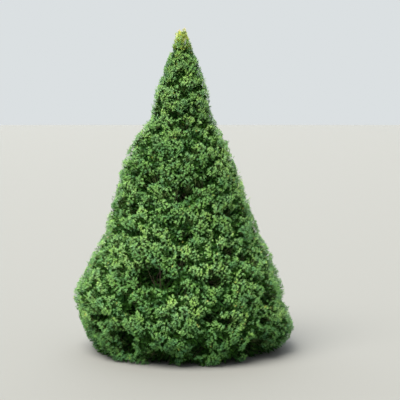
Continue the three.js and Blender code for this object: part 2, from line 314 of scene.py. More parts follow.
# Spruce bark: thin dull scales, darker in the cracks between them
barkLook = {
    "scale": 0.012, "stretch": 0.45, "streak": 0.045, "detail": 6.0, "crack": 0.12,
    "stops": (0.12, 0.62), "roughness": 0.92, "relief": 0.0016, "strength": 0.7,
}


def makeBarkFinish(name, lightCode, darkCode):
    finish, tree = newFinish(name)
    places = addNode(tree, "ShaderNodeTexCoord")
    stretch = addNode(tree, "ShaderNodeMapping", None, {
        "Vector": places.outputs["Object"], "Scale": (1.0, 1.0, barkLook["stretch"])})
    scales = addNode(tree, "ShaderNodeTexVoronoi", {"feature": "DISTANCE_TO_EDGE"}, {
        "Vector": stretch, "Scale": 1 / barkLook["scale"]})
    streaks = addNode(tree, "ShaderNodeTexNoise", None, {
        "Vector": stretch, "Scale": 1 / barkLook["streak"], "Detail": barkLook["detail"]})
    cracks = addNode(tree, "ShaderNodeMapRange", None, {
        "Value": scales.outputs["Distance"], "From Min": 0.0, "From Max": barkLook["crack"]})
    blend = addNode(tree, "ShaderNodeMath", {"operation": "MULTIPLY"}, {
        0: cracks, 1: streaks.outputs["Fac"]})
    shades = addNode(tree, "ShaderNodeValToRGB", None, {"Fac": blend})
    codes = (darkCode, lightCode)
    for element, stop, code in zip(shades.color_ramp.elements, barkLook["stops"], codes):
        element.position = stop
        element.color = hexToLinear(code)
    relief = addNode(tree, "ShaderNodeBump", None, {
        "Height": blend, "Strength": barkLook["strength"], "Distance": barkLook["relief"]})
    closeFinish(tree, {
        "Base Color": shades, "Roughness": barkLook["roughness"], "Normal": relief})
    return finish


# The camera stands where the photo was taken from: at eye height, seven metres off
cameraSpot = {
    "distance": 7.0, "eyeHeight": 1.55, "sideways": 0.103, "focalPixels": 1060,
    "imagePixels": 400, "horizonRow": 115, "sensor": 36.0,
}


def placeCamera():
    lens = bpy.data.cameras.new("camera")
    lens.sensor_width = cameraSpot["sensor"]
    lens.lens = cameraSpot["focalPixels"] / cameraSpot["imagePixels"] * cameraSpot["sensor"]
    camera = addObject("camera", lens)
    camera.location = (cameraSpot["sideways"], -cameraSpot["distance"], cameraSpot["eyeHeight"])
    dip = math.atan((cameraSpot["imagePixels"] / 2 - cameraSpot["horizonRow"]) / cameraSpot["focalPixels"])
    camera.rotation_euler = (math.pi / 2 - dip, 0, 0)
    bpy.context.scene.camera = camera


placeCamera()
print("camera placed")


# Bark: the trunk with its scales in relief, and the boughs
bough = {
    "rise": 0.42, "drop": 0.006, "pullShare": 0.55, "sag": 0.28, "tipShare": 0.62, "gap": 0.009,
    "sides": 10, "rings": 24,
}
barkRelief = {
    "plate": 0.014, "stretch": 0.45, "jagged": 0.6, "ridgeScale": 0.8, "ridgeLayers": 3,
    "plates": 0.6, "ridges": 0.8, "sink": 0.9, "boughDepth": 0.0007, "depth": 0.0018,
    "mostDepth": 0.1,  # as a share of the girth
}


def barkHeight(point, depth):
    stretched = flattened(point, barkRelief["stretch"]) / barkRelief["plate"]
    plates = noise.cell(stretched + noise.noise_vector(stretched) * barkRelief["jagged"])
    ridges = noise.turbulence(stretched * barkRelief["ridgeScale"], barkRelief["ridgeLayers"], False)
    relief = barkRelief["plates"] * plates + barkRelief["ridges"] * ridges
    return depth * (relief - barkRelief["sink"])


def boughCurve(mass):
    share = mass["hollow"] - bough["gap"] / crownRadius(mass["height"], mass["turn"])
    tip = crownPoint(mass["height"] - bough["drop"], mass["turn"], share)
    reach = fromTrunk(tip)[0]
    foot = trunkPoint(tip.z - reach * bough["rise"])
    pull = foot.lerp(tip, bough["pullShare"])
    pull.z -= reach * bough["rise"] * bough["sag"]
    return foot, pull, tip


def makeBark():
    skin = Skin()
    sides, rings = trunk["sides"], trunk["rings"]
    for i in range(rings + 1):
        share = i / rings
        height = trunk["top"] * share ** trunk["ringCrowding"]
        middle = trunkPoint(height)
        for k in range(sides):
            turn = 2 * math.pi * k / sides
            spoke = Vector((math.cos(turn), math.sin(turn), 0))
            girth = trunkRadius(height, turn)
            point = middle + spoke * girth
            depth = min(barkRelief["depth"], girth * barkRelief["mostDepth"])
            skin.corners.append(middle + spoke * (girth + barkHeight(point, depth)))
    skin.faces += tubeFaces(0, sides, rings)
    for mass in masses:
        if not mass["bough"]:
            continue
        foot, pull, tip = boughCurve(mass)

        def girthAt(share, middle, spoke, thick=mass["bough"]):
            girth = thick * mix(1, bough["tipShare"], share)
            return girth + barkHeight(middle + spoke * girth, barkRelief["boughDepth"])

        skin.addLimb((foot, pull, tip), girthAt, bough["sides"], bough["rings"])
    return skin.toObject("bark")


bark = makeBark()
bark.data.materials.append(makeBarkFinish("spruce bark", "#8a7566", "#3f2f26"))
print("bark made:", len(bark.data.polygons), "faces")


# Twigs grow as in the solids, from each mass's heart to its tufts. The same golden spiral,
# set closer, then gives the fine twigs that branch off them, and closer still the shoots.
# They stand up at the top and lie flatter further down.
spiralRule = {"evenTop": 0.07, "flattest": 0.15, "liftCurve": 0.4}
tuftRule = {
    "count": 112, "crowding": 1.35, "lowest": 0.070, "highest": 0.0, "scatter": 0.3, "gather": 0.08,
    "smallest": 0.36, "sizeScatter": 0.1, "underCount": 12, "belowTip": 0.128, "pullShare": 0.5,
}
fineRule = {
    "count": 760, "crowding": 1.75, "lowest": 0.040, "highest": 0.012, "scatter": 0.45, "underCount": 70,
    "belowTip": 0.070, "branchFrom": 0.30, "branchTo": 0.90, "fan": 0.35, "rise": 0.3, "endsAbove": 0.02,
    "pullShare": 0.45,
}
# The crown's underside has a ring of main twigs, and a spiral of finer ones
underRule = {
    "twigHeight": 0.030, "twigShare": 0.72, "twigScatter": 0.1, "twigTurn": 0.4, "twigLift": -0.5,
    "inmostSquare": 0.3, "outmostSquare": 0.9, "scatter": 0.05, "lowest": 0.010, "highest": 0.060,
    "arch": 0.05, "lift": -0.3,
}
shootRule = {
    "count": 29000, "crowding": 1.62, "lowest": 0.008, "highest": 0.012, "scatter": 0.62, "underCount": 800,
    "depthScatter": 0.005, "proud": -0.002, "longOdds": 0.05, "longProud": 0.012,
    "rootScatter": 0.55, "rootCurve": 1.5, "groundGap": 0.006, "stray": 0.55,
}
# More shoots fill the slim top: over what height, and between which shares of its radius
topRule = {
    "count": 620, "crowding": 1.35, "reach": 0.36, "highest": 0.03, "scatter": 0.6, "firstSeed": 40000,
    "inmost": 0.15, "outmost": 0.85, "proud": 0.020, "proudReach": 0.10,
}
# Sprays fill the crown in layers, one on the fine twigs and two on the main twigs. Their dark tint is
# painted shade.
innerRule = {"seedStep": 20000, "leastDepth": 0.8, "mostDepth": 1.25, "deepest": 0.75}
innerLayers = [
    {"on": "fine", "count": 3600, "crowding": 1.45, "lowest": 0.025, "highest": 0.07,
     "scatter": 0.5, "depth": 0.060, "spray": 0.060, "rootLow": 0.1, "rootHigh": 0.6},
    {"on": "main", "count": 2300, "crowding": 1.6, "lowest": 0.04, "highest": 0.12,
     "scatter": 0.5, "depth": 0.160, "spray": 0.085, "rootLow": 0.2, "rootHigh": 0.7},
    {"on": "main", "count": 900, "crowding": 1.9, "lowest": 0.08, "highest": 0.30,
     "scatter": 0.5, "depth": 0.300, "spray": 0.115, "rootLow": 0.0, "rootHigh": 0.3},
]
# Creases part the tufts from each other, deepest on the underside of a tuft. They wander and
# fade, so that some tufts run together.
creases = {
    "tuft": {"depth": 0.048, "width": 0.078, "dome": 0.002, "droop": 1.0, "wander": 0.100,
             "flat": 1.35, "patch": 0.16, "fade": 2.0, "bareFrom": 0.70},
    "fine": {"depth": 0.008, "width": 0.034, "dome": 0.003, "droop": 0.6, "wander": 0.024,
             "flat": 1.2, "patch": 0.13, "fade": 1.2, "bareFrom": 0.85},
}
# The creases nearly spare the tip, and reach their full depth some way below it
creaseRule = {"wanderScale": 3, "patchGain": 2.2, "edgeCurve": 1.6, "calm": 0.30, "leastCalm": 0.1}
# Hollows that show dark in the photo, where shoots are bare inside: height, side in degrees,
# radius, depth. More of them are spread over the sides that the photo doesn't show.
hollows = [
    (1.49, 275, 0.040, 0.075),
    (1.17, 240, 0.060, 0.105),
    (1.14, 290, 0.050, 0.095),
    (1.10, 275, 0.065, 0.115),
    (1.05, 270, 0.045, 0.090),
    (0.97, 225, 0.055, 0.090),
    (0.95, 315, 0.055, 0.100),
    (0.82, 275, 0.045, 0.095),
    (0.72, 305, 0.055, 0.110),
    (0.68, 315, 0.055, 0.110),
    (0.66, 270, 0.045, 0.095),
    (0.58, 250, 0.115, 0.170),
    (0.55, 290, 0.060, 0.120),
    (0.54, 260, 0.070, 0.130),
    (0.49, 270, 0.040, 0.085),
    (0.40, 325, 0.065, 0.110),
    (0.37, 240, 0.060, 0.110),
    (0.33, 285, 0.050, 0.105),
    (0.30, 295, 0.045, 0.095),
    (0.29, 220, 0.055, 0.095),
    (0.27, 320, 0.050, 0.095),
    (0.21, 215, 0.050, 0.085),
    (0.19, 235, 0.080, 0.125),
    (0.12, 235, 0.080, 0.125),
    (0.12, 280, 0.070, 0.130),
    (0.12, 315, 0.095, 0.140),
    (0.05, 255, 0.120, 0.150),
    (0.04, 320, 0.110, 0.130),
    (0.03, 300, 0.070, 0.120),
    (0.03, 275, 0.070, 0.120),
    (0.03, 330, 0.080, 0.110),
    (0.03, 355, 0.100, 0.055),
    (0.38, 352, 0.120, 0.055),
    (0.52, 352, 0.110, 0.050),
]
# A hollow that is no deeper than the shallow limit keeps its shoots
hollowRule = {"bareFrom": 0.45, "flat": 1.6, "reach": 3, "shallow": 0.060}
backHollows = {
    "count": 34, "lowest": 0.05, "highest": 1.5, "over": 0.35, "turnStep": 0.618, "turnScatter": 0.1,
    "radius": 0.050, "depth": 0.095, "leastScale": 0.8, "scaleSpread": 0.3,
}
# Dry brown twiglets that show in a hollow, where the needles have gone
dryRule = {
    "perHollow": 9, "spread": 0.85, "mouth": 0.35, "deepest": 0.9, "inside": 0.88, "lowest": 0.01,
    "rootLow": 0.2, "rootHigh": 0.95, "rootStray": 0.4, "bend": 0.3, "lift": 0.01, "radius": 0.0013,
    "taper": 0.5, "steps": 3,
}
# Dents without a plan, where the crown sinks a little between its lobes
dents = {"depth": 0.070, "spread": 0.075, "flat": 1.5, "from": 0.12, "to": 0.50}


def tuftSize(height, rule):
    share = max(1 - height / treeHeight, 0)
    return max(share ** (1 - rule["crowding"] / 2), tuftRule["smallest"])


def spiral(rule, salt):
    found = []
    for i in range(rule["count"]):
        step = i + (rule["scatter"] * centred(i, salt) if i else 0)
        reach = treeHeight - rule["lowest"] - rule["highest"]
        fall = rule["highest"] + reach * (step / rule["count"]) ** (1 / rule["crowding"])
        even = spiralRule["evenTop"]
        turn = i * goldenTurn + rule["scatter"] * centred(i, salt + 1) * even / (fall + even)
        lift = mix(math.pi / 2, spiralRule["flattest"], (fall / treeHeight) ** spiralRule["liftCurve"])
        found.append((i, treeHeight - fall, turn, lift))
    return found


def outward(turn, lift):
    return Vector((math.cos(turn) * math.cos(lift), math.sin(turn) * math.cos(lift), math.sin(lift)))


def makeTufts():
    tufts = []
    for seed, height, turn, lift in spiral(tuftRule, 11):
        tufts.append({"seed": seed, "tip": crownPoint(height, turn, 1), "way": outward(turn, lift)})
    for i in range(tuftRule["underCount"]):
        turn = (i + underRule["twigTurn"] * centred(i, 13)) * 2 * math.pi / tuftRule["underCount"]
        share = underRule["twigShare"] + underRule["twigScatter"] * centred(i, 14)
        tip = crownPoint(underRule["twigHeight"], turn, share)
        tufts.append({"seed": tuftRule["count"] + i, "tip": tip,
                      "way": outward(turn, underRule["twigLift"])})
    for tuft in tufts:
        mass = nearestMass(tuft["tip"])
        middle = tuft["tip"] if mass is masses[-1] else crownPoint(mass["height"], mass["turn"], 1)
        tuft["tip"] = tuft["tip"].lerp(middle, tuftRule["gather"])
        size = tuftSize(tuft["tip"].z, tuftRule)
        size *= 1 + tuftRule["sizeScatter"] * centred(tuft["seed"], 21)
        end = tuft["tip"] - tuft["way"] * tuftRule["belowTip"] * size
        pull = end - tuft["way"] * (end - mass["heart"]).length * tuftRule["pullShare"]
        tuft["twig"] = (mass["heart"], pull, end)
        tuft["size"] = size
    return tufts


def treeOf(tufts, flat=1.0):
    tree = KDTree(len(tufts))
    for i, tuft in enumerate(tufts):
        tree.insert(flattened(tuft["tip"], flat), i)
    tree.balance()
    return tree


def calmAt(height):
    return clamp((treeHeight - height) / creaseRule["calm"], creaseRule["leastCalm"], 1)


def creaseAt(point, tufts, tree, rule):  # its depth, the number of its tuft, and if it is bare
    index = tree.find(flattened(point, rule["flat"]))[1]
    size = tufts[index]["size"]
    wander = noise.noise_vector(point / (rule["wander"] * creaseRule["wanderScale"]))
    strayed = point + wander * rule["wander"] * size
    (near, _, apart), (_, _, further) = tree.find_n(flattened(strayed, rule["flat"]), 2)
    edge = clamp(1 - (further - apart) / (rule["width"] * size), 0, 1)
    below = clamp((near.z / rule["flat"] - strayed.z) / (rule["width"] * size), -1, 1)
    patch = clamp(creaseRule["patchGain"] * noise.noise(point / rule["patch"]), -1, 1)
    strength = max(0, 1 + rule["fade"] * patch)
    groove = rule["depth"] * strength * edge ** creaseRule["edgeCurve"] * (1 + rule["droop"] * below)
    dome = rule["dome"] * (apart / (rule["width"] * size)) ** 2
    calm = calmAt(point.z)
    bare = edge * strength * max(below, 0) * calm > rule["bareFrom"]
    return size * (groove + dome) * calm, index, bare


def placeHollows():
    places = [(crownPoint(height, math.radians(side), 1), radius, depth)
              for height, side, radius, depth in hollows]
    for i in range(backHollows["count"]):
        share = (i + 0.5) / backHollows["count"]
        height = mix(backHollows["highest"], backHollows["lowest"], math.sqrt(share))
        along = (i * backHollows["turnStep"] + backHollows["turnScatter"] * centred(i, 45)) % 1
        turn = -backHollows["over"] + (math.pi + 2 * backHollows["over"]) * along
        scale = backHollows["leastScale"] + backHollows["scaleSpread"] * scatter(i, 46)
        places.append((crownPoint(height, turn, 1), backHollows["radius"] * scale,
                       backHollows["depth"] * scale))
    return places


def hollowAt(point):  # how deep the nearest hollow is here, and its share of the full depth
    deepest, fullest = 0, 0
    for centre, radius, depth in hollowPlaces:
        away = point - centre
        away.z *= hollowRule["flat"]
        if away.length < hollowRule["reach"] * radius:
            share = bell(away.length, radius)
            deepest = max(deepest, depth * share)
            fullest = max(fullest, share if depth > hollowRule["shallow"] else 0)
    return deepest, fullest


def dentAt(point):
    sink = noise.noise(flattened(point, dents["flat"]) / dents["spread"])
    share = clamp((sink - dents["from"]) / (dents["to"] - dents["from"]), 0, 1)
    return dents["depth"] * calmAt(point.z) * share


def growDryTwiglets(tufts):
    tree = treeOf(tufts)
    lines = []
    bareHollows = [hollow for hollow in hollowPlaces if hollow[2] > hollowRule["shallow"]]
    for order, (centre, radius, depth) in enumerate(bareHollows):
        inward = -outward(fromTrunk(centre)[1], 0)
        owner = tufts[tree.find(centre)[1]]
        for i in range(dryRule["perHollow"]):
            seed = order * 100 + i
            stray = Vector([centred(seed, salt) for salt in (91, 92, 93)]) * radius * dryRule["spread"]
            share = mix(dryRule["mouth"], dryRule["deepest"], scatter(seed, 94))
            tip = centre + stray + inward * depth * share
            reach, side = fromTrunk(tip)
            tip -= outward(side, 0) * max(0, reach - dryRule["inside"] * crownRadius(tip.z, side))
            share = mix(dryRule["rootLow"], dryRule["rootHigh"], scatter(seed, 95))
            root = bendPoint(owner["twig"], share) + stray * dryRule["rootStray"]
            tip.z = max(tip.z, dryRule["lowest"])
            root.z = max(root.z, dryRule["lowest"])
            pull = root.lerp(tip, 0.5) + stray * dryRule["bend"] + up * dryRule["lift"]
            lines.append((root, pull, tip))
    return lines


def tipsOf(rule, salt):  # on the crown's flank, then on its underside
    tips = [(seed, crownPoint(height, turn, 1), turn, lift)
            for seed, height, turn, lift in spiral(rule, salt)]
    for i in range(rule["underCount"]):
        turn = i * goldenTurn
        along = (i + 0.5) / rule["underCount"]
        square = mix(underRule["inmostSquare"], underRule["outmostSquare"], along)
        share = math.sqrt(square) * (1 + underRule["scatter"] * centred(i, salt + 5))
        height = mix(underRule["lowest"], underRule["highest"], scatter(i, salt + 6))
        height += underRule["arch"] * (1 - share)
        tips.append((rule["count"] + i, crownPoint(height, turn, share), turn, underRule["lift"]))
    return tips


def makeFineTufts(tufts):
    tree = treeOf(tufts, creases["tuft"]["flat"])
    made = []
    for seed, tip, turn, lift in tipsOf(fineRule, 31):
        size = tuftSize(tip.z, fineRule)
        crease, index, _ = creaseAt(tip, tufts, tree, creases["tuft"])
        crease = max(crease + dentAt(tip), hollowAt(tip)[0])
        owner = tufts[index]
        place = tip - outward(turn, lift) * crease
        spread = place - owner["twig"][2]
        way = spread.normalized() * fineRule["fan"] + outward(turn, lift) + up * fineRule["rise"]
        way.normalize()
        end = place - way * fineRule["belowTip"] * size
        end.z = max(end.z, fineRule["endsAbove"])
        share = mix(fineRule["branchFrom"], fineRule["branchTo"], scatter(seed, 39))
        start = bendPoint(owner["twig"], share)
        pull = end - way * (end - start).length * fineRule["pullShare"]
        made.append({"seed": seed, "twig": (start, pull, end), "size": size, "tip": tip,
                     "owner": owner})
    return made


def growShoots(tufts, fine):
    tuftTree, fineTree = treeOf(tufts, creases["tuft"]["flat"]), treeOf(fine, creases["fine"]["flat"])
    tips = tipsOf(shootRule, 51)
    rule = {**topRule, "lowest": treeHeight - topRule["reach"]}
    for i, height, turn, lift in spiral(rule, 53):
        share = mix(topRule["inmost"], topRule["outmost"], scatter(i, 55))
        tips.append((topRule["firstSeed"] + i, crownPoint(height, turn, share), turn, lift))
    grown = []
    for seed, tip, turn, lift in tips:
        crease, _, bare = creaseAt(tip, tufts, tuftTree, creases["tuft"])
        fineCrease, index, fineBare = creaseAt(tip, fine, fineTree, creases["fine"])
        hollow, bareness = hollowAt(tip)
        if bare or fineBare or bareness > hollowRule["bareFrom"]:
            continue
        depth = max(crease + dentAt(tip), hollow) + fineCrease
        depth += shootRule["depthScatter"] * centred(seed, 58)
        proud = shootRule["proud"]
        if scatter(seed, 59) < shootRule["longOdds"]:
            proud += shootRule["longProud"]
        proud += topRule["proud"] * clamp(1 - (treeHeight - tip.z) / topRule["proudReach"], 0, 1)
        end = tip - outward(turn, lift) * (depth - proud)
        end.z = max(end.z, shootRule["groundGap"])
        tuft = fine[index]
        share = 1 - shootRule["rootScatter"] * scatter(seed, 60) ** shootRule["rootCurve"]
        root = bendPoint(tuft["twig"], share)
        stray = Vector([centred(seed, salt) for salt in (64, 65, 66)]) * shootRule["stray"]
        way = ((end - root).normalized() + stray).normalized()
        grown.append({"seed": seed, "root": root, "end": end, "way": way, "depth": depth, "tuft": tuft})
    return grown


def growInnerShoots(tufts, fine):  # side shoots spread evenly inside the crown
    grown = []
    for layer, rule in enumerate(innerLayers):
        owners = fine if rule["on"] == "fine" else tufts
        tree = treeOf(owners)
        for i, height, turn, lift in spiral(rule, 81 + 10 * layer):
            seed = i + innerRule["seedStep"] * (layer + 1)
            surface = crownPoint(height, turn, 1)
            owner = owners[tree.find(surface)[1]]
            share = mix(innerRule["leastDepth"], innerRule["mostDepth"], scatter(seed, 84))
            depth = rule["depth"] * share * tuftSize(height, fineRule) + hollowAt(surface)[0]
            depth = min(depth, innerRule["deepest"] * crownRadius(height, turn))
            end = surface - outward(turn, lift) * depth
            root = bendPoint(owner["twig"], mix(rule["rootLow"], rule["rootHigh"], scatter(seed, 85)))
            grown.append({"seed": seed, "root": root, "end": end, "way": (end - root).normalized(),
                          "spray": rule["spray"] * owner["size"]})
    return grown


hollowPlaces = placeHollows()
tufts = makeTufts()
fineTufts = makeFineTufts(tufts)
shoots = growShoots(tufts, fineTufts)
innerShoots = growInnerShoots(tufts, fineTufts)
dryTwiglets = growDryTwiglets(tufts)
print("grown:", len(tufts), "main twigs,", len(fineTufts), "fine twigs,", len(shoots), "shoots")


# Node trees that dress lines and points
leastPlace = (-10.0, -10.0, 0.001)  # what would dip into the ground is laid on it


def newTree(name, inputs):
    tree = bpy.data.node_groups.new(name, "GeometryNodeTree")
    tree.interface.new_socket("Geometry", in_out="INPUT", socket_type="NodeSocketGeometry")
    for label, kind in inputs.items():
        tree.interface.new_socket(label, in_out="INPUT", socket_type="NodeSocket" + kind)
    tree.interface.new_socket("Geometry", in_out="OUTPUT", socket_type="NodeSocketGeometry")
    return tree, addNode(tree, "NodeGroupInput").outputs


def placeOnPoints(tree, given, shape):  # every point carries the turn and the size of its copy
    turn = addNode(tree, "GeometryNodeInputNamedAttribute", {"data_type": "QUATERNION"}, {"Name": "turn"})
    size = addNode(tree, "GeometryNodeInputNamedAttribute", {"data_type": "FLOAT_VECTOR"}, {"Name": "size"})
    return addNode(tree, "GeometryNodeInstanceOnPoints", None, {
        "Points": given["Geometry"], "Instance": shape, "Rotation": turn, "Scale": size})


def endTree(tree, given, shape, smooth=True):
    if smooth:
        shape = addNode(tree, "GeometryNodeSetShadeSmooth", None, {"Geometry": shape})
    real = addNode(tree, "GeometryNodeRealizeInstances", None, {"Geometry": shape})
    place = addNode(tree, "ShaderNodeVectorMath", {"operation": "MAXIMUM"}, {
        0: addNode(tree, "GeometryNodeInputPosition"), 1: leastPlace})
    laid = addNode(tree, "GeometryNodeSetPosition", None, {"Geometry": real, "Position": place})
    dressed = addNode(tree, "GeometryNodeSetMaterial", None, {
        "Geometry": laid, "Material": given["Finish"]})
    addNode(tree, "NodeGroupOutput", None, {"Geometry": dressed})


def grow(name, mesh, tree, values):  # dresses a mesh of lines or points and keeps the result
    piece = addObject(name, mesh)
    modifier = piece.modifiers.new("growth", "NODES")
    modifier.node_group = tree
    for item in tree.interface.items_tree:
        if item.in_out == "INPUT" and item.name in values:
            modifier[item.identifier] = values[item.name]
    grown = bpy.data.meshes.new_from_object(piece.evaluated_get(bpy.context.evaluated_depsgraph_get()))
    piece.modifiers.clear()
    piece.data = grown
    grown.name = name
    return piece


# Twigs: every line becomes a tapering rod. A shoot's own stem is a slim three-sided cone.
twigLook = {
    "mainRadius": 0.0040, "fineRadius": 0.0024, "shootRadius": 0.0015, "stemRadius": 0.0060,
    "footSwell": 1.2, "mainTaper": 0.5, "fineTaper": 0.55, "stemTaper": 0.7, "mainSteps": 8,
    "fineSteps": 5, "sides": 4, "drySides": 3, "shootHidden": 0.010,
}
stemBend = {"fromBough": 0.4, "fromLeader": 0.5, "rise": 0.5, "pullShare": 0.6, "sag": 0.15}


def stemCurve(mass):  # from the bough's tip or the trunk to the mass's heart
    heart = mass["heart"]
    if mass["bough"]:
        limb = boughCurve(mass)
        foot = limb[2]
        return foot, foot + bendTangent(limb, 1) * (foot - heart).length * stemBend["fromBough"], heart
    if mass is masses[-1]:
        foot = trunkPoint(trunk["top"])
        return foot, foot.lerp(heart, stemBend["fromLeader"]), heart
    drop = fromTrunk(heart)[0] * stemBend["rise"]
    foot = trunkPoint(heart.z - drop)
    pull = foot.lerp(heart, stemBend["pullShare"])
    pull.z -= drop * stemBend["sag"]
    return foot, pull, heart


class Lines:  # gathers lines that carry a thickness
    def __init__(self):
        self.points, self.edges, self.thickness = [], [], []

    def addCurve(self, curve, low, high, steps):
        first = len(self.points)
        shares = [i / steps for i in range(steps + 1)]
        self.points.extend(bendPoint(curve, share) for share in shares)
        self.thickness.extend(mix(low, high, share) for share in shares)
        self.edges.extend((first + i, first + i + 1) for i in range(steps))

    def toMesh(self, name):
        mesh = bpy.data.meshes.new(name)
        mesh.from_pydata(self.points, self.edges, [])
        mesh.attributes.new("thickness", "FLOAT", "POINT").data.foreach_set("value", self.thickness)
        return mesh


def makeRodTree():
    tree, given = newTree("rods along lines", {"Sides": "Int", "Finish": "Material"})
    lines = addNode(tree, "GeometryNodeMeshToCurve", None, {"Mesh": given["Geometry"]})
    ring = addNode(tree, "GeometryNodeCurvePrimitiveCircle", None, {
        "Resolution": given["Sides"], "Radius": 1.0})
    thickness = addNode(tree, "GeometryNodeInputNamedAttribute", {"data_type": "FLOAT"}, {
        "Name": "thickness"})
    rods = addNode(tree, "GeometryNodeCurveToMesh", None, {
        "Curve": lines, "Profile Curve": ring, "Scale": thickness, "Fill Caps": True})
    endTree(tree, given, rods)
    return tree


def makeStemTree():
    tree, given = newTree("stems on points", {"Finish": "Material"})
    cone = addNode(tree, "GeometryNodeMeshCone", {"fill_type": "NGON"}, {
        "Vertices": 3, "Radius Top": 0.0, "Radius Bottom": 1.0, "Depth": 1.0})
    endTree(tree, given, placeOnPoints(tree, given, cone))
    return tree


def pointsMesh(name, places):  # each place: foot, way, size along each axis, seed
    mesh = bpy.data.meshes.new(name)
    mesh.from_pydata([foot for foot, way, size, seed in places], [], [])
    turns, sizes = [], []
    for foot, way, size, seed in places:
        turns.extend(way.to_track_quat("Z", "Y") @ Quaternion(up, 2 * math.pi * scatter(seed, 61)))
        sizes.extend(size)
    mesh.attributes.new("turn", "QUATERNION", "POINT").data.foreach_set("value", turns)
    mesh.attributes.new("size", "FLOAT_VECTOR", "POINT").data.foreach_set("vector", sizes)
    return mesh


def stemPlaces():
    places = []
    for shoot in shoots + innerShoots:
        along = shoot["end"] - shoot["way"] * twigLook["shootHidden"] - shoot["root"]
        thick = twigLook["shootRadius"]
        places.append((shoot["root"], along.normalized(), (thick, thick, along.length), shoot["seed"]))
    return places


def makeTwigs():
    tree = makeRodTree()
    stout = Lines()
    for mass in masses:
        low = mass["bough"] * bough["tipShare"] or twigLook["stemRadius"]
        stout.addCurve(stemCurve(mass), low, low * twigLook["stemTaper"], twigLook["mainSteps"])
    for kind, owners in (("main", tufts), ("fine", fineTufts)):
        for tuft in owners:
            low = twigLook[kind + "Radius"] * tuft["size"]
            stout.addCurve(tuft["twig"], low * twigLook["footSwell"], low * twigLook[kind + "Taper"],
                           twigLook[kind + "Steps"])
    dry = Lines()
    for line in dryTwiglets:
        dry.addCurve(line, dryRule["radius"], dryRule["radius"] * dryRule["taper"], dryRule["steps"])
    twigs = grow("twigs", stout.toMesh("twigs"), tree, {
        "Sides": twigLook["sides"], "Finish": makeBarkFinish("spruce twig bark", "#52473c", "#282019")})
    stems = grow("shoot_stems", pointsMesh("shoot_stems", stemPlaces()), makeStemTree(), {
        "Finish": makeBarkFinish("young shoot bark", "#5d7438", "#3c4f22")})
    dead = grow("dry_twiglets", dry.toMesh("dry_twiglets"), tree, {
        "Sides": twigLook["drySides"],
        "Finish": makeBarkFinish("dry brown twiglets", "#4f4033", "#2a2019")})
    return [twigs, stems, dead]


twigPieces = makeTwigs()
print("twigs made:", [len(piece.data.polygons) for piece in twigPieces], "faces")


# Sprays: a tree sets needles round a short line that stands on each point. They lie on a
# golden spiral and lean further forward towards the tip, by degrees from its line. A needle is
# a flat kite.
sprays = {
    "body": {"Needles": 5, "Length": 0.0115, "Width": 0.0042, "Low": 0.0, "High": 0.60,
             "Low Lean": 82.0, "High Lean": 52.0},
    "tip": {"Needles": 8, "Length": 0.0105, "Width": 0.0021, "Low": 0.42, "High": 0.88,
            "Low Lean": 78.0, "High Lean": 14.0},
    "inner": {"Needles": 8, "Length": 0.0165, "Width": 0.0058, "Low": 0.0, "High": 0.95,
              "Low Lean": 78.0, "High Lean": 20.0},
}
sprayRule = {
    "reach": 0.019, "leastScale": 0.80, "scatter": 0.15, "topGain": 0.45, "widestAt": 0.4,
    "leanScatter": 9.0, "shortest": 0.8, "longest": 1.15, "seedStep": 11, "otherSeed": 7,
}


